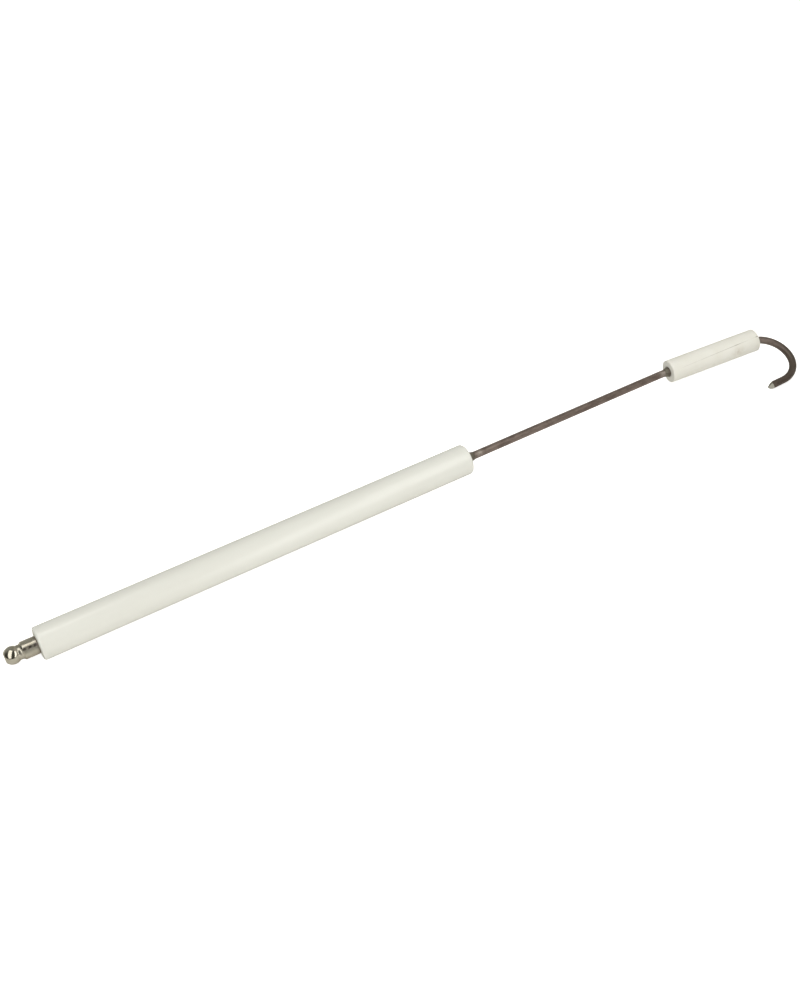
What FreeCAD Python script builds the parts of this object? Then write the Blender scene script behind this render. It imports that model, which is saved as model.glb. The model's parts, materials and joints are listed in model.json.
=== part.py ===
"""Flame sensor probe: a hooked resistance-wire electrode in two ceramic insulators.

Millimetres. The origin is the centre of the main insulator, on its axis. +X runs along
the insulator towards the hooked tip, and +Z is up when the probe lies on a table with
its hook touching the surface, on the -Y side.
"""
import FreeCAD, Part
import math
import os

V = FreeCAD.Vector
X_AXIS = V(1, 0, 0)

# --- Driving dimensions --------------------------------------------------------------
WIRE_R = 1.5                  # 3 mm resistance wire
BORE_R = 2.0                  # bore of the main insulator

INSULATOR_R = 6.0
INSULATOR_LENGTH = 171.0
INSULATOR_RIM = 0.9           # rounding of the glazed rims

TERMINAL_R = 3.175            # 6.35 mm ball terminal
TERMINAL_NECK_R = 2.58
TERMINAL_TIP_R = 1.7          # flat on the end of the ball
TERMINAL_BARREL = 5.4         # plain barrel, from the insulator to the shoulder
TERMINAL_NECK_FRONT = 5.8     # the rest of the terminal, measured from the insulator
TERMINAL_BALL_AT = 8.66       # centre of the ball
BARREL_CHAMFER = 0.3
WIRE_IN_TERMINAL = 8.0        # depth of the blind hole that takes the wire
STAKE_COUNT = 3               # dents that stake the barrel to the wire
STAKE_PITCH = 1.7
STAKE_FIRST_AT = 1.1
STAKE_R = 0.9
STAKE_DEPTH = 0.22
STAKE_SIDE = 46.0             # degrees up from the -Y side

CEMENT_LENGTH = 14.0          # cement plug in each end of the insulator's bore
CEMENT_SETBACK = 0.6          # the plug's end lies this far inside the bore

COLLAR_EDGE_R = 1.6           # thin end of the trumpet-shaped collars on the wire
COLLAR_LIP = 0.3              # parallel part at their wide end
FRONT_COLLAR_R = 2.9
FRONT_COLLAR_LENGTH = 3.4
HOLLOW_REACH = 0.4            # a point on the collars' hollow flare: share of its length
HOLLOW_FALL = 0.55            # and of its fall
SLEEVE_COLLAR_R = 2.15
SLEEVE_COLLAR_LENGTH = 1.9

BARE_WIRE = 100.4             # between the insulator and the tip sleeve
SLEEVE_R = 4.75
SLEEVE_BORE_R = 1.98          # loose on the wire, so that the sleeve turns
SLEEVE_LENGTH = 41.25
SLEEVE_RIM = 0.36
SLEEVE_END_PLAY = 0.12        # gap between the sleeve and its collar

BEND_BEFORE_SLEEVE = 3.4      # where the wire turns a little, before the sleeve
BEND_R = 12.0
SLEEVE_TURN = 8.99            # degrees, towards -Y
SLEEVE_RISE = 5.1             # degrees, upwards
HOOK_ROLL = 20.9              # degrees that the hook's plane dips below level

HOOK_START_INSIDE = 2.6       # the hook's bend begins inside the sleeve
HOOK_R1 = 12.45
HOOK_ANGLE1 = 92.2
HOOK_R2 = 9.27
HOOK_ANGLE2 = 82.8
HOOK_LEG = 7.45
NIP_SLANT = 0.8               # the nipped end: slope of its ridge, back per mm across
NIP_NEAR = 0.455              # slope of the wide facet, away from the ridge
NIP_FAR = 1.0                 # slope of the narrow facet
NIP_RIDGE = 0.45              # the ridge's distance from the wire's centre line

# --- Places worked out from them -----------------------------------------------------
REAR_FACE_X = -INSULATOR_LENGTH / 2
FRONT_FACE_X = INSULATOR_LENGTH / 2


def direction(turn, rise):
    """Unit vector along +X turned towards -Y and then raised, in degrees."""
    a = math.radians(turn)
    b = math.radians(rise)
    return V(math.cos(b) * math.cos(a), -math.cos(b) * math.sin(a), math.sin(b))


def sideways(along, dip):
    """Unit vector across `along`, level towards -Y and then dipped by `dip` degrees."""
    level = along.cross(V(0, 0, 1)).normalize()
    up = level.cross(along).normalize()
    d = math.radians(dip)
    return level * math.cos(d) - up * math.sin(d)


SLEEVE_DIR = direction(SLEEVE_TURN, SLEEVE_RISE)
HOOK_SIDE = sideways(SLEEVE_DIR, HOOK_ROLL)
BEND_POINT = V(FRONT_FACE_X + BARE_WIRE - BEND_BEFORE_SLEEVE, 0, 0)
SLEEVE_REAR = BEND_POINT + SLEEVE_DIR * BEND_BEFORE_SLEEVE
SLEEVE_FRONT = SLEEVE_REAR + SLEEVE_DIR * SLEEVE_LENGTH


def place(shape, start, along):
    """Move a shape built along +X from the origin so that it runs from start along."""
    shape.Placement = FreeCAD.Placement(start, FreeCAD.Rotation(X_AXIS, along))
    return shape


def arc(start, heading, side, radius, angle):
    """Tangent arc that leaves `start` on `heading` and curls to `side`; also its end."""
    centre = start + side * radius

    def at(degrees):
        a = math.radians(degrees)
        return centre + heading * (radius * math.sin(a)) - side * (radius * math.cos(a))

    a = math.radians(angle)
    end_heading = heading * math.cos(a) + side * math.sin(a)
    end_side = side * math.cos(a) - heading * math.sin(a)
    edge = Part.Arc(at(0), at(angle / 2), at(angle)).toShape()
    return edge, at(angle), end_heading, end_side


def electrode_path():
    """Centre line of the wire from inside the terminal to the end of the hook."""
    start = V(REAR_FACE_X - WIRE_IN_TERMINAL, 0, 0)
    bend_angle = math.degrees(X_AXIS.getAngle(SLEEVE_DIR))
    bend_side = (SLEEVE_DIR - X_AXIS * SLEEVE_DIR.dot(X_AXIS)).normalize()
    before_bend = BEND_POINT - X_AXIS * (BEND_R * math.tan(math.radians(bend_angle / 2)))
    bend, after_bend, _, _ = arc(before_bend, X_AXIS, bend_side, BEND_R, bend_angle)
    hook_start = SLEEVE_FRONT - SLEEVE_DIR * HOOK_START_INSIDE
    curl, mid, heading, side = arc(hook_start, SLEEVE_DIR, HOOK_SIDE, HOOK_R1, HOOK_ANGLE1)
    back, leg_start, heading, side = arc(mid, heading, side, HOOK_R2, HOOK_ANGLE2)
    tip = leg_start + heading * HOOK_LEG
    edges = [
        Part.LineSegment(start, before_bend).toShape(),
        bend,
        Part.LineSegment(after_bend, hook_start).toShape(),
        curl,
        back,
        Part.LineSegment(leg_start, tip).toShape(),
    ]
    return Part.Wire(edges), tip, heading, side


def nip_cutter(corner, normal):
    """Block that lies on the outer side of one facet of the nipped end."""
    size = 6 * WIRE_R
    block = Part.makeBox(size, size, size, V(-size / 2, -size / 2, 0))
    block.Placement = FreeCAD.Placement(corner, FreeCAD.Rotation(V(0, 0, 1), normal))
    return block


def electrode_rod():
    path, tip, heading, side = electrode_path()
    start = V(REAR_FACE_X - WIRE_IN_TERMINAL, 0, 0)
    circle = Part.Wire(Part.Circle(start, X_AXIS, WIRE_R).toShape())
    rod = path.makePipeShell([circle], True, True)
    across = heading.cross(side)
    corner = tip + side * NIP_RIDGE + across * WIRE_R
    wide_facet = heading - side * NIP_NEAR - across * NIP_SLANT
    narrow_facet = heading + side * NIP_FAR - across * NIP_SLANT
    for normal in (wide_facet, narrow_facet):
        rod = rod.cut(nip_cutter(corner, normal))
    return rod


def insulator(length, radius, bore_radius, rim, start, along):
    """Plain ceramic tube with rounded outer rims."""
    tube = Part.makeCylinder(radius, length, V(0, 0, 0), X_AXIS)
    rims = [e for e in tube.Edges if isinstance(e.Curve, Part.Circle)]
    tube = tube.makeFillet(rim, rims)
    bore = Part.makeCylinder(bore_radius, length, V(0, 0, 0), X_AXIS)
    return place(tube.cut(bore), start, along)


def arc_edge(first, middle, last):
    """Outline arc through three (distance, radius) points."""
    a, b, c = (V(s, 0, r) for s, r in (first, middle, last))
    return Part.Arc(a, b, c).toShape()


def outline_edges(points):
    """Straight outline edges through (distance, radius) points."""
    corners = [V(s, 0, r) for s, r in points]
    return [Part.LineSegment(p, q).toShape() for p, q in zip(corners, corners[1:])]


def turned(edges, start, along):
    """Solid turned from a closed half outline, placed from `start` along `along`."""
    blank = Part.Face(Part.Wire(edges)).revolve(V(0, 0, 0), X_AXIS, 360)
    return place(blank, start, along)


def ball_half_length(radius):
    """Distance from the ball's centre at which its surface has this radius."""
    return math.sqrt(TERMINAL_R**2 - radius**2)


def terminal_blank():
    """Turned ball terminal, without its blind hole and dents."""
    length = TERMINAL_BALL_AT + ball_half_length(TERMINAL_TIP_R)
    neck_back = TERMINAL_BALL_AT - ball_half_length(TERMINAL_NECK_R)
    corners = [
        (length, TERMINAL_TIP_R),
        (length, 0),
        (0, 0),
        (0, TERMINAL_R - BARREL_CHAMFER),
        (BARREL_CHAMFER, TERMINAL_R),
        (TERMINAL_BARREL - BARREL_CHAMFER, TERMINAL_R),
        (TERMINAL_BARREL, TERMINAL_R - BARREL_CHAMFER),
        (TERMINAL_NECK_FRONT, TERMINAL_NECK_R),
        (neck_back, TERMINAL_NECK_R),
    ]
    edges = outline_edges(corners)
    edges.append(arc_edge(corners[-1], (TERMINAL_BALL_AT, TERMINAL_R), corners[0]))
    return turned(edges, V(REAR_FACE_X, 0, 0), X_AXIS * -1)


def terminal_nut():
    """Ball terminal, staked on the wire's end, with its barrel on the insulator."""
    nut = terminal_blank()
    nut = nut.cut(wire_hole(REAR_FACE_X - WIRE_IN_TERMINAL, WIRE_IN_TERMINAL))
    side = math.radians(STAKE_SIDE)
    reach = TERMINAL_R + STAKE_R - STAKE_DEPTH
    for i in range(STAKE_COUNT):
        x = REAR_FACE_X - STAKE_FIRST_AT - i * STAKE_PITCH
        centre = V(x, -reach * math.cos(side), reach * math.sin(side))
        nut = nut.cut(Part.makeSphere(STAKE_R, centre, X_AXIS))
    return nut


def wire_hole(x, length):
    """Cylinder of the wire's size on the main axis, for cutting a seat for the wire."""
    return Part.makeCylinder(WIRE_R, length, V(x, 0, 0), X_AXIS)


def cement_seal(x):
    """Cement that fills a stretch of the main insulator's bore round the wire."""
    plug = Part.makeCylinder(BORE_R, CEMENT_LENGTH, V(x, 0, 0), X_AXIS)
    return plug.cut(wire_hole(x, CEMENT_LENGTH))


def retaining_collar(radius, length, start, along):
    """Trumpet on the wire: its wide end at `start`, its thin end `length` further on."""
    flare_start = (COLLAR_LIP, radius)
    flare_end = (length, COLLAR_EDGE_R)
    hollow = (
        COLLAR_LIP + (length - COLLAR_LIP) * HOLLOW_REACH,
        radius - (radius - COLLAR_EDGE_R) * HOLLOW_FALL,
    )
    edges = outline_edges(
        [flare_end, (length, WIRE_R), (0, WIRE_R), (0, radius), flare_start]
    )
    edges.append(arc_edge(flare_start, hollow, flare_end))
    return turned(edges, start, along)


def build():
    return {
        "terminal_nut": terminal_nut(),
        "electrode_rod": electrode_rod(),
        "main_insulator": insulator(
            INSULATOR_LENGTH, INSULATOR_R, BORE_R, INSULATOR_RIM, V(REAR_FACE_X, 0, 0), X_AXIS
        ),
        "rear_cement_seal": cement_seal(REAR_FACE_X + CEMENT_SETBACK),
        "front_cement_seal": cement_seal(FRONT_FACE_X - CEMENT_SETBACK - CEMENT_LENGTH),
        "front_retaining_collar": retaining_collar(
            FRONT_COLLAR_R, FRONT_COLLAR_LENGTH, V(FRONT_FACE_X, 0, 0), X_AXIS
        ),
        "tip_sleeve": insulator(
            SLEEVE_LENGTH, SLEEVE_R, SLEEVE_BORE_R, SLEEVE_RIM, SLEEVE_REAR, SLEEVE_DIR
        ),
        "sleeve_retaining_collar": retaining_collar(
            SLEEVE_COLLAR_R,
            SLEEVE_COLLAR_LENGTH,
            SLEEVE_REAR - SLEEVE_DIR * SLEEVE_END_PLAY,
            SLEEVE_DIR * -1,
        ),
    }


os.makedirs("parts", exist_ok=True)
for name, shape in build().items():
    shape.exportStep(f"parts/{name}.step")
    box = shape.BoundBox
    print(
        f"{name}: valid {shape.isValid()}, solids {len(shape.Solids)}, "
        f"volume {shape.Volume:.1f}, z {box.ZMin:.2f}..{box.ZMax:.2f}, "
        f"x {box.XMin:.2f}..{box.XMax:.2f}, y {box.YMin:.2f}..{box.YMax:.2f}"
    )
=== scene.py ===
"""Looks of the flame sensor probe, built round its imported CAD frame. Metres."""
import json
import math

import bmesh
import bpy
from mathutils import Matrix, Vector, noise


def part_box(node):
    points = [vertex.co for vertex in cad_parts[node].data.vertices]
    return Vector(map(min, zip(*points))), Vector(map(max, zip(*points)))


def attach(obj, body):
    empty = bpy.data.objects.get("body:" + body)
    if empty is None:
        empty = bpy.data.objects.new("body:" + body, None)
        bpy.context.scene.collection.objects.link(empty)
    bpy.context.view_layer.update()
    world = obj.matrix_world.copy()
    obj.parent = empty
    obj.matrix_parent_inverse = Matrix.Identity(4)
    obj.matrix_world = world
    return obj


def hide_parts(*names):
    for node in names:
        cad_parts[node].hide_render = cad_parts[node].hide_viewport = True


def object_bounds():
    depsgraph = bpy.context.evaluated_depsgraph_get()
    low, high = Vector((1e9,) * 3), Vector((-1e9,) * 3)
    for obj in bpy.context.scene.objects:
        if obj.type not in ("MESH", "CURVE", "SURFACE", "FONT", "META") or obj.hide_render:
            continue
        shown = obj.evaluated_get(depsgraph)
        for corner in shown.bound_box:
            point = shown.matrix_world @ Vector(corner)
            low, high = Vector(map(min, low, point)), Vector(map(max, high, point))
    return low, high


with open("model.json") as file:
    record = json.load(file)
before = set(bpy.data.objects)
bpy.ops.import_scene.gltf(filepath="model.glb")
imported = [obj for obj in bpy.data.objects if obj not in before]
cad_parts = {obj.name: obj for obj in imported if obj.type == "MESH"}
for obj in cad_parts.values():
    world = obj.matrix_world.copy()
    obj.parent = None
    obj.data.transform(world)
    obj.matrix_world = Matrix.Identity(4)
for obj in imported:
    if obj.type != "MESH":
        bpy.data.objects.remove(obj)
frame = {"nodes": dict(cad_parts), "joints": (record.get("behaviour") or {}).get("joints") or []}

CAD_LO, CAD_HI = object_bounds()
MM = 0.001
ORIGIN = Vector((0, 0, 0))
ROW_X = Vector((1, 0, 0))
SPIN = frame["joints"][0]
SLEEVE_POINT = Vector(SPIN["pos_m"])          # on the sleeve's axis, at its rear end
SLEEVE_WAY = Vector(SPIN["axis"]).normalized()


def rgb(r, g, b):
    """Opaque colour from linear red, green and blue."""
    return (r, g, b, 1.0)


# --- Camera and studio ---------------------------------------------------------------
CAMERA_PLACE = Vector((-0.109785, -0.293365, 0.299779))
CAMERA_PAN = -29.43           # degrees
CAMERA_TILT = 47.71
CAMERA_ROLL = -2.85
LENS = 43.2                   # mm, on a sensor of the next width
SENSOR = 36.0
FRAME_SHIFT = 0.0005          # of the frame's longer side, left and up
CLIP_START = 0.01

# Area lights: name, degrees across and up from the camera as the terminal sees them,
# distance, width and height in metres, watts, and whether glossy surfaces show them.
LIGHTS = (
    ("softbox_left", -33.0, 8.0, 0.80, 0.62, 1.75, 5.55, True),
    ("softbox_right", 36.2, 10.7, 0.50, 0.17, 0.70, 0.60, True),
    ("front_fill", 24.0, -36.0, 0.90, 1.2, 0.24, 3.2, False),
    ("top_fill", 0.0, 62.0, 0.90, 1.2, 0.7, 1.9, False),
)
LIGHT_COLOUR = (1.0, 0.985, 0.95)

FLOOR_SIZE = 6.0
FLOOR_COLOUR = rgb(0.78, 0.77, 0.75)
FLOOR_GLOW = 0.80             # what the camera alone sees on top of the lit floor
BACKDROP = rgb(0.93, 0.93, 0.92)
ROOM_DARK = rgb(0.07, 0.07, 0.06)
ROOM_FAR = rgb(0.34, 0.34, 0.31)
ROOM_SIDE = rgb(0.46, 0.44, 0.40)
ROOM_FAR_WAY = (0.3, 0.95, 0.0)

# --- Colours, in pairs where a surface is mottled ------------------------------------
GLAZE = rgb(0.815, 0.822, 0.773), rgb(0.842, 0.852, 0.805)
GLAZE_SPECK = rgb(0.36, 0.35, 0.30)
BARE_CLAY = rgb(0.80, 0.78, 0.70)
MATT = rgb(0.865, 0.857, 0.79), rgb(0.90, 0.895, 0.84)
MATT_GRAIN = rgb(0.62, 0.57, 0.46)
STAIN = rgb(0.47, 0.39, 0.28)
# Soot at the front mouth, and painted shade inside the bore
SOOT_AND_BORE_SHADE = rgb(0.30, 0.27, 0.24)
SEAM_DIRT = rgb(0.20, 0.16, 0.11)
NICKEL = rgb(0.63, 0.60, 0.51), rgb(0.50, 0.46, 0.37)
# Painted dark reflection round the barrel's dents
NICKEL_PAINTED_DARK = rgb(0.030, 0.024, 0.018)
# Painted shade on the barrel's heel, next to the insulator
NICKEL_HEEL_SHADE = rgb(0.24, 0.205, 0.19)
SCALE = rgb(0.150, 0.116, 0.098), rgb(0.235, 0.188, 0.162)
SCALE_FLECK = rgb(0.33, 0.27, 0.235)
SCALE_BURNT = rgb(0.082, 0.064, 0.050)
# Painted highlight on the wire next to the insulators
SCALE_GLINT = rgb(0.44, 0.39, 0.345)
# Bare metal of the nipped end, painted lit on the wide facet and painted shaded on the narrow
# one
FACET_WIDE_LIT = rgb(0.51, 0.50, 0.44)
FACET_NARROW_SHADED = rgb(0.25, 0.24, 0.19)
STEEL = rgb(0.125, 0.112, 0.088), rgb(0.215, 0.195, 0.155)
CEMENT = rgb(0.42, 0.39, 0.33), rgb(0.62, 0.59, 0.52)

# --- Meshes of all pieces ------------------------------------------------------------
SHARP_ANGLE = 38.0            # degrees between faces from which an edge is sharp
INSULATOR_SIDES = 192
SLEEVE_SIDES = 160
TERMINAL_SIDES = 256
COLLAR_SIDES = 128
WIRE_SIDES = 72

# --- Ceramic tubes, in mm ------------------------------------------------------------
FACE_BEVEL = 0.25             # where a bore meets an end face
RIM_STEPS, EDGE_STEPS = 12, 5 # points round an outer rim and a bore's edge
BORE_SPACING = 8              # rings in a bore lie this much further apart
RIPPLE_LENGTH = 20.0          # of the slow unevenness of a drawn tube
GLAZE_WAVE = 0.02             # height of that unevenness on the insulator
GLAZE_RIM = 0.9
GLAZE_STEP = 0.8
UNGLAZED_FROM = 1.2           # times the rim: how far in the bare end face begins
FACE_SKIN = 0.1

SLEEVE_RIM = 0.36
SLEEVE_WAVE = 0.015
SLEEVE_STEP = 0.35
OUTER_SHARE = 0.8             # of the radius, from which a point is on the outside
SEAM_ANGLE = 46.5             # degrees up from the side that faces -Y
SEAM_TWIST = 18.0             # degrees that the seam winds over the sleeve's length
SEAM_START = 0.08             # share of the length where it begins
SEAM_WIDTH = 0.14
SEAM_DEPTH = 0.06
SEAM_DIRT_SPREAD = 1.25       # width of the dirt, in seam widths
SEAM_BEGIN = 0.06             # share over which it opens there
SEAM_OPEN = 0.16              # how open and dirty it is everywhere
SEAM_HILLS = ((0.22, 0.60, 0.22), (0.45, 0.73, 0.05))    # more open: by, at, half width
SEAM_FAINT = (0.75, 0.90, 0.045)                         # less open, in the same way
SEAM_LINES = 260              # mesh lines across the band that the seam winds through
SEAM_MARGIN = 12              # and beyond it on each side
CHIP_LENGTH = 1.6             # the seam's open end at the front mouth
CHIP_DEPTH = 0.16
CHIP_SPREAD = 2.0             # its width, in seam widths
CHIP_SHARPNESS = 40           # how fast it opens, per share of the length
STAIN_BELOW = 3.0             # the soiled patch: its distance under the seam
STAIN_HALF_WIDTH = 1.7
STAIN_AT = 0.74               # and its place and half length, as shares of the length
STAIN_HALF_LENGTH = 0.060
SOOT_REACH = 0.8              # how far soot fades out from the front mouth
SOOT_AT_MOUTH = 0.35
# How dark the painted shade inside the bore is
BORE_SHADE = 0.8
BORE_SKIN = 0.3

# --- Ball terminal as the CAD has it, in mm from the insulator's end face ------------
T_BARREL, T_NECK_FRONT, T_BALL_AT = 5.4, 5.8, 8.66
T_NECK_R, T_TIP_R, T_HOLE, T_CHAMFER = 2.58, 1.7, 8.0, 0.3
T_STEP = 0.09                 # spacing of its rings
T_SOFT = 0.09                 # softening of its edges
T_FILLET = 0.16               # between the neck and the ball
T_NECK_RUN = 0.2              # over which the shoulder runs out into the neck
STAKE_AT = (1.1, 2.8, 4.5)
STAKE_R, STAKE_DEPTH, STAKE_SIDE = 0.9, 0.22, 46.0
STAKE_SKIN = 0.02
DARK_DENT_STRETCH = 0.60         # the painted dark reflection round each dent is longer than wide by this
# Place, size and softness of the painted dark reflection round the dents
DARK_DENT_UP, DARK_DENT_R, DARK_DENT_SOFT, DARK_DENT_MIN_R = 0.14, 0.61, 0.08, 2.9
BRUSHED_BELOW, BRUSHED_SOFT = 0.60, 0.12
BRUSHED_NECK = 0.8
# How far and how strongly the painted shade reaches along the barrel from the insulator
HEEL_SHADE_REACH, HEEL_SHADE_SHARE = 0.75, 0.75

# --- Collars as the CAD has them, in mm ----------------------------------------------
COLLAR_LIP, COLLAR_EDGE_R = 0.3, 1.6
HOLLOW_REACH, HOLLOW_FALL = 0.4, 0.55
COLLAR_STEP = 0.07
COLLAR_SOFT = 0.07            # rounding of the wide end's edge
COLLAR_SKIN = 0.05
COLLAR_WEAR, COLLAR_WEAR_LENGTH = 0.05, 1.2

# --- The wire's bends and nipped end as the CAD has them, in mm and degrees ----------
BEND_BEFORE_SLEEVE, BEND_R = 3.4, 12.0
HOOK_START_INSIDE, HOOK_ROLL, HOOK_LEG = 2.6, 20.9, 7.45
HOOK_TURNS = ((12.45, 92.2), (9.27, 82.8))
NIP_SLANT, NIP_NEAR, NIP_FAR, NIP_RIDGE = 0.8, 0.455, 1.0, 0.45
FLAT = 0.9999                 # cosine within which a face belongs to a facet
CUT_TOLERANCE = 1e-9          # metres
WIRE_STEP = 1.5               # between rings on the straight stretches
BEND_STEP = 1.8               # degrees between rings on the bends
BARE_REACH = 3.2              # of the bare metal from the tip's corner

# The painted highlights on the wire: beyond the row's centre, before the sleeve's rear end,
# and off the axis towards the upper front, with how far they reach from there.
GLINT_FRONT, GLINT_REAR, GLINT_OFF, GLINT_REACH = 91.2, 3.6, 2.3, 2.9
GLINT_SIDE = Vector((0, -0.70, 0.71))

# Scale burnt darker beyond the sleeve, from and to before its front mouth, and the
# reach of the fresher colour round the mouth.
BURNT_FROM, BURNT_TO, FRESH_REACH = 26.0, 14.0, 15.0


# --- Directions and distances --------------------------------------------------------
def axes_of(along):
    """The axis, the direction across it that is nearest to -Y, and the third one."""
    along = along.normalized()
    front = Vector((0, -1, 0))
    front = (front - along * front.dot(along)).normalized()
    up = front.cross(along)
    if up.z < 0:
        up = -up
    return along, front, up


def reach(node, point, along):
    """Start, end, smallest and largest radius of a CAD node about an axis."""
    spans, radii = [], []
    for v in frame["nodes"][node].data.vertices:
        d = v.co - point
        s = d.dot(along)
        spans.append(s)
        radii.append((d - along * s).length)
    return min(spans), max(spans), min(radii), max(radii)


def wire_radius():
    """The wire's radius in mm, from the seal that is cast round it."""
    _, _, inner, _ = reach("rear_cement_seal", ORIGIN, ROW_X)
    return inner / MM


def evenly(count):
    """Angles round a full turn."""
    return [2 * math.pi * i / count for i in range(count)]


def gap(angle, other):
    """Signed difference of two angles, between -pi and pi."""
    return (angle - other + math.pi) % (2 * math.pi) - math.pi


def hill(x, middle, half_width):
    """Smooth hill of height 1."""
    return math.exp(-(((x - middle) / half_width) ** 2))


def fall(x, edge, softness):
    """Smooth step from 1 below the edge to 0 above it."""
    return 1.0 / (1.0 + math.exp((x - edge) / softness))


def ramp(x):
    return min(1.0, max(0.0, x))


# --- Outlines of turned pieces, as (distance, radius) --------------------------------
def line(a, b, step):
    """Points from a up to b, b left out, about `step` apart."""
    length = math.dist(a, b)
    n = max(1, round(length / step))
    return [tuple(p + (q - p) * i / n for p, q in zip(a, b)) for i in range(n)]


def arc(a, b, c, step):
    """Points on the circle through a, b and c, from a up to c, c left out."""
    ax, ay = a
    bx, by = b
    cx, cy = c
    d = 2 * (ax * (by - cy) + bx * (cy - ay) + cx * (ay - by))
    a2, b2, c2 = ax * ax + ay * ay, bx * bx + by * by, cx * cx + cy * cy
    ux = (a2 * (by - cy) + b2 * (cy - ay) + c2 * (ay - by)) / d
    uy = (a2 * (cx - bx) + b2 * (ax - cx) + c2 * (bx - ax)) / d
    radius = math.dist((ux, uy), a)
    start = math.atan2(ay - uy, ax - ux)
    middle = math.atan2(by - uy, bx - ux)
    end = math.atan2(cy - uy, cx - ux)
    turn = gap(end, start)
    part = gap(middle, start)
    if turn * part < 0:
        turn -= math.copysign(2 * math.pi, turn)
    n = max(3, round(abs(turn) * radius / step))
    angles = [start + turn * i / n for i in range(n)]
    return [(ux + radius * math.cos(t), uy + radius * math.sin(t)) for t in angles]


def quarter(a, corner, b, steps):
    """Rounded corner from a to b, b left out."""
    points = []
    for i in range(steps):
        t = i / steps
        u = 1 - math.cos(t * math.pi / 2)
        w = math.sin(t * math.pi / 2)
        points.append(
            tuple(p + (m - p) * w + (q - m) * u for p, m, q in zip(a, corner, b))
        )
    return points


def in_metres(outline):
    return [(s * MM, r * MM) for s, r in outline]


# --- Meshes --------------------------------------------------------------------------
def add_object(name, mesh):
    obj = bpy.data.objects.new(name, mesh)
    bpy.context.scene.collection.objects.link(obj)
    return obj


def lathe(name, outline, point, axes, angles, relief, marks=None):
    """Closed solid turned from a closed outline. relief(s, angle, r) gives each point's
    radius, and marks names per-vertex values as functions of the same."""
    along, front, up = axes
    bm = bmesh.new()
    layers = {key: bm.verts.layers.float.new(key) for key in marks or {}}
    rings = []
    for s, r in outline:
        ring = []
        for angle in angles if r > 0 else angles[:1]:
            out = relief(s, angle, r) if r > 0 else r
            side = front * math.cos(angle) + up * math.sin(angle)
            vert = bm.verts.new(point + along * s + side * out)
            for key, layer in layers.items():
                vert[layer] = marks[key](s, angle, r)
            ring.append(vert)
        rings.append(ring)
    count = len(angles)
    for first, second in zip(rings, rings[1:] + rings[:1]):
        if len(first) == 1 and len(second) == 1:
            continue
        for i in range(count):
            j = (i + 1) % count
            if len(first) == 1:
                bm.faces.new((first[0], second[j], second[i]))
            elif len(second) == 1:
                bm.faces.new((first[i], first[j], second[0]))
            else:
                bm.faces.new((first[i], first[j], second[j], second[i]))
    bmesh.ops.recalc_face_normals(bm, faces=bm.faces)
    mesh = bpy.data.meshes.new(name)
    bm.to_mesh(mesh)
    bm.free()
    mesh.shade_smooth()
    mesh.set_sharp_from_angle(angle=math.radians(SHARP_ANGLE))
    return add_object(name, mesh)


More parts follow.
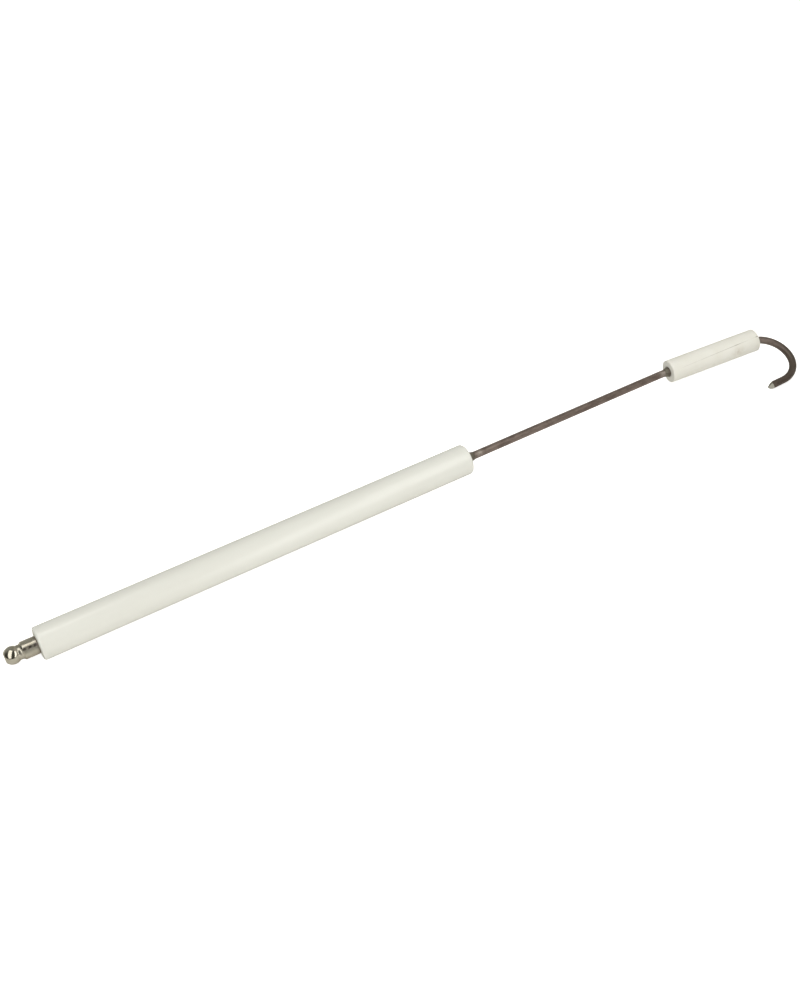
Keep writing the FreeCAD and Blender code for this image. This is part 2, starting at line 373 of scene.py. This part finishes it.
# --- Materials -----------------------------------------------------------------------
class Graph:
    """A node tree, with a short call for each kind of node used here."""

    def __init__(self, name, tree=None):
        if tree is None:
            self.material = bpy.data.materials.new(name)
            self.material.use_nodes = True
            tree = self.material.node_tree
        self.tree = tree
        self.tree.nodes.clear()

    def node(self, kind, **settings):
        made = self.tree.nodes.new(kind)
        for key, value in settings.items():
            setattr(made, key, value)
        return made

    def feed(self, socket, value):
        if isinstance(value, bpy.types.NodeSocket):
            self.tree.links.new(value, socket)
        else:
            socket.default_value = value

    def where(self, kind="Object"):
        return self.node("ShaderNodeTexCoord").outputs[kind]

    def place(self, stretch=(1, 1, 1)):
        mapping = self.node("ShaderNodeMapping")
        self.feed(mapping.inputs["Vector"], self.where())
        mapping.inputs["Scale"].default_value = stretch
        return mapping.outputs["Vector"]

    def noise(self, size_mm, detail=3.0, rough=0.5, stretch=(1, 1, 1)):
        made = self.node("ShaderNodeTexNoise")
        self.feed(made.inputs["Vector"], self.place(stretch))
        made.inputs["Scale"].default_value = 1 / (size_mm * MM)
        made.inputs["Detail"].default_value = detail
        made.inputs["Roughness"].default_value = rough
        return made.outputs["Fac"]

    def cells(self, size_mm):
        made = self.node("ShaderNodeTexVoronoi")
        self.feed(made.inputs["Vector"], self.place())
        made.inputs["Scale"].default_value = 1 / (size_mm * MM)
        return made.outputs["Distance"]

    def math(self, operation, a, b, clamp=False):
        made = self.node("ShaderNodeMath", operation=operation, use_clamp=clamp)
        self.feed(made.inputs[0], a)
        self.feed(made.inputs[1], b)
        return made.outputs[0]

    def span(self, value, low, high, start=0.0, end=1.0):
        """value from low to high, mapped smoothly to start..end and clamped."""
        made = self.node("ShaderNodeMapRange", interpolation_type="SMOOTHSTEP")
        self.feed(made.inputs["Value"], value)
        made.inputs["From Min"].default_value = low
        made.inputs["From Max"].default_value = high
        made.inputs["To Min"].default_value = start
        made.inputs["To Max"].default_value = end
        return made.outputs["Result"]

    def mix(self, share, a, b):
        made = self.node("ShaderNodeMix", data_type="RGBA")
        self.feed(made.inputs["Factor"], share)
        self.feed(made.inputs[6], a)
        self.feed(made.inputs[7], b)
        return made.outputs[2]

    def attribute(self, name):
        return self.node("ShaderNodeAttribute", attribute_name=name).outputs["Fac"]

    def near(self, point, radius_mm):
        """1 at a point in the row frame, falling to 0 at the radius."""
        away = self.node("ShaderNodeVectorMath", operation="DISTANCE")
        self.feed(away.inputs[0], self.where())
        away.inputs[1].default_value = point
        return self.span(away.outputs["Value"], 0.0, radius_mm * MM, 1.0, 0.0)

    def dot(self, vector, direction):
        made = self.node("ShaderNodeVectorMath", operation="DOT_PRODUCT")
        self.feed(made.inputs[0], vector)
        made.inputs[1].default_value = direction
        return made.outputs["Value"]

    def bump(self, height, depth_mm, under=None):
        made = self.node("ShaderNodeBump")
        made.inputs["Strength"].default_value = 1.0
        made.inputs["Distance"].default_value = depth_mm * MM
        self.feed(made.inputs["Height"], height)
        if under is not None:
            self.feed(made.inputs["Normal"], under)
        return made.outputs["Normal"]

    def finish(self, colour, roughness, normal, metallic=0.0, **constants):
        shader = self.node("ShaderNodeBsdfPrincipled")
        output = self.node("ShaderNodeOutputMaterial")
        self.feed(shader.inputs["Base Color"], colour)
        self.feed(shader.inputs["Roughness"], roughness)
        self.feed(shader.inputs["Metallic"], metallic)
        self.feed(shader.inputs["Normal"], normal)
        for key, value in constants.items():
            shader.inputs[key].default_value = value
        self.tree.links.new(shader.outputs["BSDF"], output.inputs["Surface"])
        return self.material


def glazed_ceramic():
    """Glossy off-white glaze with rare specks, and bare clay on the end faces."""
    g = Graph("glazed_ceramic")
    cloud = g.noise(22.0, 2.0, stretch=(0.35, 1, 1))
    body = g.mix(g.span(cloud, 0.35, 0.65), *GLAZE)
    speck = g.span(g.cells(9.0), 0.012, 0.02, 1.0, 0.0)
    rare = g.span(g.noise(30.0, 1.0), 0.60, 0.64)
    colour = g.mix(g.math("MULTIPLY", speck, rare), body, GLAZE_SPECK)
    bare = g.attribute("bare")
    colour = g.mix(bare, colour, BARE_CLAY)
    gloss = g.span(g.noise(3.0), 0.3, 0.7, 0.07, 0.10)
    rough = g.math("MAXIMUM", gloss, g.math("MULTIPLY", bare, 0.72))
    peel = g.bump(g.noise(2.2, 2.0), 0.008)
    normal = g.bump(g.noise(0.3, 2.0), 0.0015, under=peel)
    return g.finish(colour, rough, normal, IOR=1.52)


def matt_ceramic():
    """Matt porous ceramic with a dirty seam, a soiled patch, soot at its mouth and painted shade
    inside its bore.
    """
    g = Graph("matt_ceramic")
    body = g.mix(g.span(g.noise(7.0), 0.3, 0.7), *MATT)
    grain = g.noise(0.35, 4.0, 0.65)
    body = g.mix(g.span(grain, 0.66, 0.78, 0.0, 0.35), body, MATT_GRAIN)
    patches = g.span(g.noise(1.1), 0.30, 0.70, 0.25, 1.0)
    stain = g.math("MULTIPLY", g.attribute("stain"), patches)
    body = g.mix(g.math("MULTIPLY", stain, 0.34), body, STAIN)
    # Soot at the front mouth and painted shade inside the bore
    body = g.mix(g.math("MULTIPLY", g.attribute("soot_and_bore_shade"), 0.35), body, SOOT_AND_BORE_SHADE)
    broken = g.span(g.noise(1.6), 0.3, 0.6, 0.55, 1.0)
    body = g.mix(g.math("MULTIPLY", g.attribute("seam"), broken), body, SEAM_DIRT)
    rough = g.span(grain, 0.3, 0.7, 0.62, 0.78)
    coarse = g.bump(g.noise(0.8), 0.02)
    normal = g.bump(grain, 0.012, under=coarse)
    return g.finish(body, rough, normal, IOR=1.5)


def nickel():
    """Worn nickel plate, turned on the barrel, with a painted dark reflection round its staked
    dents and painted shade at its heel.
    """
    g = Graph("nickel")
    tarnish = g.noise(2.6, 4.0, 0.6)
    colour = g.mix(g.span(tarnish, 0.42, 0.70), *NICKEL)
    # Painted dark reflection over the dents, which are also made rougher and less metallic
    dents_painted_dark = g.attribute("dents_painted_dark")
    spots = g.math("MULTIPLY", dents_painted_dark, g.span(g.noise(0.9), 0.30, 0.50, 0.7, 1.0))
    colour = g.mix(spots, colour, NICKEL_PAINTED_DARK)
    # Painted shade at the heel, where the barrel meets the insulator
    colour = g.mix(g.attribute("heel_shade"), colour, NICKEL_HEEL_SHADE)
    barrel = g.attribute("barrel")
    smear = g.noise(0.5, stretch=(0.25, 1, 1))
    rough = g.span(smear, 0.3, 0.7, 0.08, 0.13)
    rough = g.math("ADD", rough, g.math("MULTIPLY", dents_painted_dark, 0.38))
    rough = g.math("ADD", rough, g.math("MULTIPLY", barrel, 0.12))
    rough = g.math("ADD", rough, g.math("MULTIPLY", g.attribute("brushed"), 0.22))
    rings = g.noise(0.07, 2.0, stretch=(1, 0.02, 0.02))
    turned = g.bump(g.math("MULTIPLY", rings, barrel), 0.003)
    normal = g.bump(g.noise(0.6, 2.0), 0.004, under=turned)
    metal = g.span(spots, 0.0, 1.0, 1.0, 0.4)
    return g.finish(colour, rough, normal, metallic=metal)


def oxidised_wire(corner, mouth, glint_at, facets):
    """Dark scale on the wire with painted highlights near the insulators, and bare metal on the
    two facets of its nipped end, painted lit on the wide facet and shaded on the narrow one.
    """
    g = Graph("oxidised_wire")
    scale = g.noise(2.4, 5.0, 0.6, stretch=(0.45, 1, 1))
    colour = g.mix(g.span(scale, 0.34, 0.66), *SCALE)
    fleck = g.noise(0.45, 4.0, 0.7)
    colour = g.mix(g.span(fleck, 0.60, 0.74, 0.0, 0.6), colour, SCALE_FLECK)
    mouth_at = mouth.dot(SLEEVE_WAY)
    along = g.dot(g.where(), SLEEVE_WAY)
    beyond = g.span(along, mouth_at - BURNT_FROM * MM, mouth_at - BURNT_TO * MM)
    burnt = g.math("SUBTRACT", 1.0, g.near(mouth, FRESH_REACH), clamp=True)
    burnt = g.math("MULTIPLY", beyond, burnt)
    colour = g.mix(g.math("MULTIPLY", burnt, 0.8), colour, SCALE_BURNT)
    # Painted highlights on the wire, where it passes the insulators' faces
    for place in glint_at:
        uneven = g.span(g.noise(0.8), 0.3, 0.6, 0.5, 1.0)
        glint = g.math("MULTIPLY", g.near(place, GLINT_REACH), uneven)
        colour = g.mix(glint, colour, SCALE_GLINT)
    rough = g.span(g.noise(1.1, 4.0), 0.3, 0.7, 0.30, 0.44)
    pits = g.bump(g.noise(0.30, 4.0, 0.65), 0.018)
    drawn = g.bump(g.noise(0.22, 2.0, stretch=(0.03, 1, 1)), 0.008, under=pits)
    end = g.span(g.near(corner, BARE_REACH), 0.02, 0.05)
    face_way = g.node("ShaderNodeNewGeometry").outputs["True Normal"]
    bare = 0.0
    # Each facet's bare metal gets its painted tone: lit on the wide facet, shaded on the narrow
    # one
    for facet, painted_tone in facets:
        on_facet = g.span(g.dot(face_way, facet), 0.985, 0.995)
        on_facet = g.math("MULTIPLY", on_facet, end)
        colour = g.mix(on_facet, colour, painted_tone)
        bare = g.math("MAXIMUM", on_facet, bare)
    rough = g.math("ADD", rough, g.math("MULTIPLY", bare, 0.06))
    metal = g.span(bare, 0.0, 1.0, 0.5, 1.0)
    return g.finish(colour, rough, drawn, metallic=metal)


def collar_steel():
    """Blackened, mottled steel."""
    g = Graph("collar_steel")
    mottle = g.noise(1.3, 4.0, 0.6)
    colour = g.mix(g.span(mottle, 0.35, 0.65), *STEEL)
    rough = g.span(g.noise(0.8), 0.3, 0.7, 0.34, 0.52)
    normal = g.bump(g.noise(0.35), 0.015)
    return g.finish(colour, rough, normal, metallic=0.55)


def cement():
    """Gritty refractory cement."""
    g = Graph("cement")
    grit = g.noise(0.7, 5.0, 0.7)
    colour = g.mix(g.span(grit, 0.3, 0.7), *CEMENT)
    rough = g.span(grit, 0.3, 0.7, 0.8, 0.95)
    return g.finish(colour, rough, g.bump(grit, 0.08))


def dress(obj, material):
    obj.data.materials.clear()
    obj.data.materials.append(material)


# --- Ceramic tubes -------------------------------------------------------------------
def ripple(amount_mm, seed):
    """Relief of a slightly uneven drawn tube, the same in every run."""

    def relief(s, angle, r):
        place = Vector((s / (RIPPLE_LENGTH * MM), math.cos(angle) + seed, math.sin(angle)))
        return r + noise.noise(place) * amount_mm * MM

    return relief


def tube_outline(start, end, bore, out, rim_mm, step_mm):
    """Thick tube with rounded outer rims and lightly broken bore edges."""
    rim, edge, step = rim_mm * MM, FACE_BEVEL * MM, step_mm * MM
    points = line((start + rim, out), (end - rim, out), step)
    points += quarter((end - rim, out), (end, out), (end, out - rim), RIM_STEPS)
    points += line((end, out - rim), (end, bore + edge), step)
    points += quarter((end, bore + edge), (end, bore), (end - edge, bore), EDGE_STEPS)
    points += line((end - edge, bore), (start + edge, bore), BORE_SPACING * step)
    points += quarter((start + edge, bore), (start, bore), (start, bore + edge), EDGE_STEPS)
    points += line((start, bore + edge), (start, out - rim), step)
    points += quarter((start, out - rim), (start, out), (start + rim, out), RIM_STEPS)
    return points


def make_insulator():
    axes = axes_of(ROW_X)
    start, end, bore, out = reach("main_insulator", ORIGIN, axes[0])
    outline = tube_outline(start, end, bore, out - GLAZE_WAVE * MM, GLAZE_RIM, GLAZE_STEP)

    def bare(s, angle, r):
        """The end faces, inside their rounded rims."""
        inner = out - UNGLAZED_FROM * GLAZE_RIM * MM
        at_face = s < start + FACE_SKIN * MM or s > end - FACE_SKIN * MM
        return 1.0 if r < inner and at_face else 0.0

    tube = lathe(
        "insulator_tube", outline, ORIGIN, axes, evenly(INSULATOR_SIDES),
        ripple(GLAZE_WAVE, 0.0), {"bare": bare},
    )
    dress(tube, glazed_ceramic())
    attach(tube, "probe")
    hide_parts("main_insulator")


def seam_angle(share):
    """Where the seam runs round the sleeve, at a share of its length."""
    return math.radians(SEAM_ANGLE + SEAM_TWIST * (share - 0.5))


def seam_profile(away):
    """The seam's cross-section, 1 in its middle, with `away` in seam widths."""
    return math.exp(-2 * away**2)


def sleeve_angles():
    """Angles round the sleeve, close together where the seam runs."""
    band = range(-SEAM_MARGIN, SEAM_LINES + SEAM_MARGIN + 1)
    fine = [seam_angle(i / SEAM_LINES) for i in band]
    rest = [a for a in evenly(SLEEVE_SIDES) if not fine[0] < a < fine[-1]]
    return sorted(rest + [a % (2 * math.pi) for a in fine])


def make_sleeve():
    axes = axes_of(SLEEVE_WAY)
    start, end, bore, out = reach("tip_sleeve", SLEEVE_POINT, axes[0])
    length = end - start
    outline = tube_outline(start, end, bore, out - SLEEVE_WAVE * MM, SLEEVE_RIM, SLEEVE_STEP)
    uneven = ripple(SLEEVE_WAVE, 5.0)

    def share_of(s):
        return (s - start) / length

    def from_seam(s, angle):
        return gap(angle, seam_angle(share_of(s))) * out / MM

    def strength(s):
        """How open and dirty the seam is along the sleeve, 0 to 1."""
        share = share_of(s)
        begin = ramp((share - SEAM_START) / SEAM_BEGIN)
        opened = SEAM_OPEN + sum(by * hill(share, at, half) for by, at, half in SEAM_HILLS)
        closed_by, at, half = SEAM_FAINT
        faint = 1 - closed_by * hill(share, at, half)
        mouth = ramp((share - 1 + CHIP_LENGTH * MM / length) * CHIP_SHARPNESS)
        return min(1.0, begin * faint * opened + mouth)

    def relief(s, angle, r):
        if r < OUTER_SHARE * out:
            return uneven(s, angle, r)
        away = from_seam(s, angle) / SEAM_WIDTH
        groove = seam_profile(away) * SEAM_DEPTH * strength(s)
        at_mouth = max(0.0, 1 - (end - s) / (CHIP_LENGTH * MM))
        chip = seam_profile(away / CHIP_SPREAD) * CHIP_DEPTH * at_mouth
        return uneven(s, angle, r) - (groove + chip) * MM

    def seam(s, angle, r):
        if r < OUTER_SHARE * out:
            return 0.0
        away = from_seam(s, angle) / (SEAM_WIDTH * SEAM_DIRT_SPREAD)
        return seam_profile(away) * strength(s)

    def stain(s, angle, r):
        across = hill(from_seam(s, angle), -STAIN_BELOW, STAIN_HALF_WIDTH)
        return across * hill(share_of(s), STAIN_AT, STAIN_HALF_LENGTH)

    def soot_and_bore_shade(s, angle, r):
        """Soot round the front mouth, and painted shade inside the bore."""
        to_mouth = (end - s) / MM
        # Painted shade inside the bore
        inside = BORE_SHADE if r < bore + BORE_SKIN * MM else 0.0
        return max(inside, math.exp(-to_mouth / SOOT_REACH) * SOOT_AT_MOUTH)

    sleeve = lathe(
        "sleeve_tube", outline, SLEEVE_POINT, axes, sleeve_angles(), relief,
        {"seam": seam, "stain": stain, "soot_and_bore_shade": soot_and_bore_shade},
    )
    dress(sleeve, matt_ceramic())
    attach(sleeve, "sleeve")
    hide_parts("tip_sleeve")


# --- Terminal ------------------------------------------------------------------------
def ball_radius_at(radius, at):
    """Radius at a distance along the terminal, on its ball."""
    return math.sqrt(radius**2 - (at - T_BALL_AT) ** 2)


def terminal_outline(radius, wire, neck_back):
    """Barrel, shoulder, neck and ball, with softened edges and the wire's blind hole."""
    tip = T_BALL_AT + math.sqrt(radius**2 - T_TIP_R**2)
    low = radius - T_CHAMFER
    shoulder = T_BARREL - T_CHAMFER
    before, after = (shoulder - T_SOFT, radius), (shoulder + T_SOFT, radius - T_SOFT)
    neck_start = (T_NECK_FRONT + T_NECK_RUN, T_NECK_R)
    neck_end = (neck_back - T_FILLET, T_NECK_R)
    on_ball = neck_back + T_FILLET
    ball_start = (on_ball, ball_radius_at(radius, on_ball))
    ball_end = (tip - T_SOFT, ball_radius_at(radius, tip - T_SOFT))
    outline = line((0, wire), (0, low), 0.5)
    outline += line((0, low), (T_CHAMFER, radius), 0.12)
    outline += line((T_CHAMFER, radius), before, T_STEP)
    outline += quarter(before, (shoulder, radius), after, 5)
    outline += line(after, (T_BARREL, low), T_STEP)
    outline += quarter((T_BARREL, low), (T_NECK_FRONT, T_NECK_R), neck_start, 8)
    outline += line(neck_start, neck_end, T_STEP)
    outline += quarter(neck_end, (neck_back, T_NECK_R), ball_start, 6)
    outline += arc(ball_start, (T_BALL_AT, radius), ball_end, T_STEP)
    outline += quarter(ball_end, (tip, T_TIP_R), (tip, T_TIP_R - T_SOFT), 5)
    outline += line((tip, T_TIP_R - T_SOFT), (tip, 0), 0.3)
    outline += [(tip, 0), (T_HOLE, 0)]
    outline += line((T_HOLE, wire), (0, wire), 1.0)
    return in_metres(outline)


def terminal_marks(radius, neck_back):
    """Where the barrel is turned, painted dark round its dents as a reflection, dulled, or
    painted with shade at its heel.
    """

    def above_stakes(angle):
        return gap(angle, math.radians(STAKE_SIDE)) * radius

    # Painted dark reflection round each dent.
    def dents_painted_dark(s, angle, r):
        s = s / MM
        if r / MM < DARK_DENT_MIN_R or s > T_BARREL:
            return 0.0
        up = above_stakes(angle) - DARK_DENT_UP
        away = min(math.hypot((s - at) * DARK_DENT_STRETCH, up) for at in STAKE_AT)
        return fall(away, DARK_DENT_R, DARK_DENT_SOFT)

    def barrel(s, angle, r):
        return 1.0 if s / MM < T_BARREL else 0.0

    def brushed(s, angle, r):
        """The neck, and the barrel's flank below the marks."""
        if s / MM > T_BARREL:
            return BRUSHED_NECK if s / MM < neck_back else 0.0
        return fall(above_stakes(angle), -BRUSHED_BELOW, BRUSHED_SOFT)

    # Painted shade where the barrel meets the insulator.
    def heel_shade(s, angle, r):
        return HEEL_SHADE_SHARE * hill(s / MM, 0.0, HEEL_SHADE_REACH)

    return {"dents_painted_dark": dents_painted_dark, "barrel": barrel, "heel_shade": heel_shade, "brushed": brushed}


def make_terminal():
    along, front, up = axes_of(ROW_X)
    _, face, _, out = reach("terminal_nut", ORIGIN, along)
    radius = out / MM
    neck_back = T_BALL_AT - math.sqrt(radius**2 - T_NECK_R**2)
    centre_out = radius + STAKE_R - STAKE_DEPTH

    def relief(s, angle, r):
        """Spherical dents that stake the barrel to the wire."""
        s, r = s / MM, r / MM
        if r > radius - STAKE_SKIN and s < T_BARREL:
            off = gap(angle, math.radians(STAKE_SIDE))
            across = centre_out * math.sin(off)
            for at in STAKE_AT:
                left = STAKE_R**2 - (s - at) ** 2 - across**2
                if left > 0 and abs(off) < 1:
                    r = min(r, centre_out * math.cos(off) - math.sqrt(left))
        return r * MM

    nut = lathe(
        "ball_terminal", terminal_outline(radius, wire_radius(), neck_back),
        Vector((face, 0, 0)), (-along, front, up), evenly(TERMINAL_SIDES), relief,
        terminal_marks(radius, neck_back),
    )
    dress(nut, nickel())
    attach(nut, "probe")
    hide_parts("terminal_nut")


# --- Collars -------------------------------------------------------------------------
def collar_outline(start, end, inner, out):
    """Trumpet whose wide end is at the start."""
    lip_end = start + COLLAR_LIP
    hollow = (
        lip_end + (end - lip_end) * HOLLOW_REACH,
        out - (out - COLLAR_EDGE_R) * HOLLOW_FALL,
    )
    rim_in, rim_on = (start, out - COLLAR_SOFT), (start + COLLAR_SOFT, out)
    outline = line((start, inner), rim_in, 0.2)
    outline += quarter(rim_in, (start, out), rim_on, 5)
    outline += line(rim_on, (lip_end, out), COLLAR_STEP)
    outline += arc((lip_end, out), hollow, (end, COLLAR_EDGE_R), COLLAR_STEP)
    outline += line((end, COLLAR_EDGE_R), (end, inner), 0.05)
    outline += line((end, inner), (start, inner), 0.5)
    return in_metres(outline)


def make_collar(name, node, point, along, seed):
    """Collar as the CAD has it, with worn edges and a slight unevenness."""
    axes = axes_of(along)
    sizes_mm = [value / MM for value in reach(node, point, axes[0])]
    inner = sizes_mm[2]

    def relief(s, angle, r):
        if r / MM < inner + COLLAR_SKIN:
            return r
        along_wear = s / (COLLAR_WEAR_LENGTH * MM)
        place = Vector((along_wear, 2 * math.cos(angle) + seed, 2 * math.sin(angle)))
        return r - abs(noise.noise(place)) * COLLAR_WEAR * MM

    outline = collar_outline(*sizes_mm)
    collar = lathe(name, outline, point, axes, evenly(COLLAR_SIDES), relief)
    dress(collar, collar_steel())
    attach(collar, "probe")
    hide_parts(node)


# --- Wire ----------------------------------------------------------------------------
def run_straight(path, length):
    """Carry a path of (point, heading, side) straight on."""
    point, heading, side = path[-1]
    n = max(1, round(length / WIRE_STEP))
    path += [(point + heading * (length * i / n), heading, side) for i in range(1, n + 1)]


def run_round(path, side, radius, angle):
    """Carry a path round a tangent arc towards `side`."""
    point, heading, _ = path[-1]
    centre = point + side * radius
    n = max(1, round(angle / BEND_STEP))
    for i in range(1, n + 1):
        a = math.radians(angle * i / n)
        turned_side = side * math.cos(a) - heading * math.sin(a)
        turned_heading = heading * math.cos(a) + side * math.sin(a)
        path.append((centre - turned_side * radius, turned_heading, turned_side))


def wire_path(mouth):
    """The wire's centre line in mm, from inside the terminal to the end of the hook."""
    rear = Vector((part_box("electrode_rod")[0][0] / MM, 0, 0))
    bend = math.degrees(ROW_X.angle(SLEEVE_WAY))
    bend_side = (SLEEVE_WAY - ROW_X * SLEEVE_WAY.dot(ROW_X)).normalized()
    bend_at = SLEEVE_POINT / MM - SLEEVE_WAY * BEND_BEFORE_SLEEVE
    tangent = BEND_R * math.tan(math.radians(bend / 2))
    path = [(rear, ROW_X, bend_side)]
    run_straight(path, bend_at.x - tangent - rear.x)
    run_round(path, bend_side, BEND_R, bend)
    run_straight(path, (mouth / MM - bend_at).length - tangent - HOOK_START_INSIDE)
    level = SLEEVE_WAY.cross(Vector((0, 0, 1))).normalized()
    up = level.cross(SLEEVE_WAY).normalized()
    dip = math.radians(HOOK_ROLL)
    side = level * math.cos(dip) - up * math.sin(dip)
    for radius, angle in HOOK_TURNS:
        run_round(path, side, radius, angle)
        side = path[-1][2]
    run_straight(path, HOOK_LEG)
    return path


def sweep(path, radius):
    """Mesh of a round bar along a path, its rings turned only as the bends need."""
    bm = bmesh.new()
    before = path[0][1]
    out = axes_of(before)[1]
    rings = []
    for point, heading, _ in path:
        out = before.rotation_difference(heading) @ out
        before = heading
        third = heading.cross(out)
        ways = [out * math.cos(a) + third * math.sin(a) for a in evenly(WIRE_SIDES)]
        rings.append([bm.verts.new((point + way * radius) * MM) for way in ways])
    for first, second in zip(rings, rings[1:]):
        for i in range(WIRE_SIDES):
            j = (i + 1) % WIRE_SIDES
            bm.faces.new((first[i], first[j], second[j], second[i]))
    for ring in (rings[0], rings[-1]):
        bm.faces.new(ring)
    return bm


def nip(bm, tip, corner, normal):
    """Cut the bar's end off along a plane and close it with a flat facet."""
    near = [f for f in bm.faces if (f.calc_center_median() - tip).length < HOOK_LEG * MM]
    parts = dict.fromkeys(near)           # keeps its order, so every run cuts alike
    for face in near:
        parts.update(dict.fromkeys(face.edges))
        parts.update(dict.fromkeys(face.verts))
    bmesh.ops.bisect_plane(
        bm, geom=list(parts), dist=CUT_TOLERANCE, plane_co=corner, plane_no=normal,
        clear_outer=True,
    )
    bmesh.ops.edgeloop_fill(bm, edges=[e for e in bm.edges if e.is_boundary])


def nipped_bar(path, radius):
    """Mesh of the wire, its tip's outermost corner, and its two facets' directions."""
    tip, heading, side = path[-1]
    across = heading.cross(side)
    corner = (tip + side * NIP_RIDGE + across * radius) * MM
    wide = (heading - side * NIP_NEAR - across * NIP_SLANT).normalized()
    narrow = (heading + side * NIP_FAR - across * NIP_SLANT).normalized()
    bm = sweep(path, radius)
    for normal in (wide, narrow):
        nip(bm, tip * MM, corner, normal)
    bmesh.ops.recalc_face_normals(bm, faces=bm.faces)
    for face in bm.faces:
        face.smooth = max(face.normal.dot(wide), face.normal.dot(narrow)) <= FLAT
    mesh = bpy.data.meshes.new("hooked_wire")
    bm.to_mesh(mesh)
    bm.free()
    return mesh, corner, wide, narrow


def make_wire():
    _, length, _, _ = reach("tip_sleeve", SLEEVE_POINT, SLEEVE_WAY)
    mouth = SLEEVE_POINT + SLEEVE_WAY * length
    mesh, corner, wide, narrow = nipped_bar(wire_path(mouth), wire_radius())
    wire = add_object("hooked_wire", mesh)
    # Places of the painted highlights on the wire
    off = GLINT_SIDE.normalized() * GLINT_OFF * MM
    glint_at = (
        ROW_X * GLINT_FRONT * MM + off,
        SLEEVE_POINT - SLEEVE_WAY * GLINT_REAR * MM + off,
    )
    # The wide facet painted lit, the narrow one painted shaded
    facets = ((wide, FACET_WIDE_LIT), (narrow, FACET_NARROW_SHADED))
    dress(wire, oxidised_wire(corner, mouth, glint_at, facets))
    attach(wire, "probe")
    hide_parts("electrode_rod")


# --- Studio --------------------------------------------------------------------------
def make_camera():
    """Place the camera, and return its rotation."""
    data = bpy.data.cameras.new("camera")
    data.lens = LENS
    data.sensor_width = SENSOR
    data.shift_x = -FRAME_SHIFT
    data.shift_y = FRAME_SHIFT
    data.clip_start = CLIP_START
    camera = add_object("camera", data)
    turn = Matrix.Rotation(math.radians(CAMERA_PAN), 4, "Z")
    turn = turn @ Matrix.Rotation(math.radians(CAMERA_TILT), 4, "X")
    turn = turn @ Matrix.Rotation(math.radians(CAMERA_ROLL), 4, "Z")
    camera.matrix_world = Matrix.Translation(CAMERA_PLACE) @ turn
    bpy.context.scene.camera = camera
    return turn.to_3x3()


def make_light(turn, name, across_deg, up_deg, distance, width, height, power, in_gloss):
    """Area light that faces the terminal."""
    target = Vector((CAD_LO.x, 0, 0))
    back = (CAMERA_PLACE - target).normalized()
    right = (turn @ ROW_X).normalized()
    right = (right - back * right.dot(back)).normalized()
    up = back.cross(right)
    a, b = math.radians(across_deg), math.radians(up_deg)
    way = (back * math.cos(a) + right * math.sin(a)) * math.cos(b) + up * math.sin(b)
    data = bpy.data.lights.new(name, "AREA")
    data.shape = "RECTANGLE"
    data.size = width
    data.size_y = height
    data.energy = power
    data.color = LIGHT_COLOUR
    light = add_object(name, data)
    x = up.cross(way).normalized()
    facing = Matrix((x, way.cross(x), way)).transposed().to_4x4()
    light.matrix_world = Matrix.Translation(target + way * distance) @ facing
    light.visible_camera = False
    light.visible_glossy = in_gloss


def make_floor():
    """Plain pale paper that the camera sees a little brighter than it is lit."""
    mesh = bpy.data.meshes.new("floor")
    h = FLOOR_SIZE / 2
    z = CAD_LO.z
    corners = [(-h, -h, z), (h, -h, z), (h, h, z), (-h, h, z)]
    mesh.from_pydata(corners, [], [(0, 1, 2, 3)])
    floor = add_object("floor", mesh)
    g = Graph("floor_paper")
    diffuse = g.node("ShaderNodeBsdfDiffuse")
    g.feed(diffuse.inputs["Color"], FLOOR_COLOUR)
    glow = g.node("ShaderNodeEmission")
    seen = g.node("ShaderNodeLightPath").outputs["Is Camera Ray"]
    g.feed(glow.inputs["Strength"], g.math("MULTIPLY", seen, FLOOR_GLOW))
    both = g.node("ShaderNodeAddShader")
    g.feed(both.inputs[0], diffuse.outputs[0])
    g.feed(both.inputs[1], glow.outputs[0])
    output = g.node("ShaderNodeOutputMaterial")
    g.feed(output.inputs["Surface"], both.outputs[0])
    dress(floor, g.material)


def make_world():
    """Pale backdrop for the camera, and as light a dim room, paler behind and beside."""
    world = bpy.data.worlds.new("studio")
    bpy.context.scene.world = world
    world.use_nodes = True
    g = Graph("studio", world.node_tree)
    where = g.where("Generated")
    room = g.mix(g.span(g.dot(where, ROOM_FAR_WAY), -0.1, 0.75), ROOM_DARK, ROOM_FAR)
    room = g.mix(g.span(g.dot(where, ROW_X), 0.42, 0.62), room, ROOM_SIDE)
    seen = g.node("ShaderNodeLightPath").outputs["Is Camera Ray"]
    light = g.node("ShaderNodeBackground")
    g.feed(light.inputs["Color"], g.mix(seen, room, BACKDROP))
    output = g.node("ShaderNodeOutputWorld")
    g.feed(output.inputs["Surface"], light.outputs[0])


def make_studio():
    bpy.context.scene.view_settings.view_transform = "Standard"
    turn = make_camera()
    for light in LIGHTS:
        make_light(turn, *light)
    make_floor()
    make_world()


make_studio()
make_terminal()
make_insulator()
make_sleeve()
make_collar("front_collar", "front_retaining_collar", ORIGIN, ROW_X, 1.0)
make_collar("sleeve_collar", "sleeve_retaining_collar", SLEEVE_POINT, -SLEEVE_WAY, 7.0)
make_wire()
for seal in ("rear_cement_seal", "front_cement_seal"):
    dress(frame["nodes"][seal], cement())
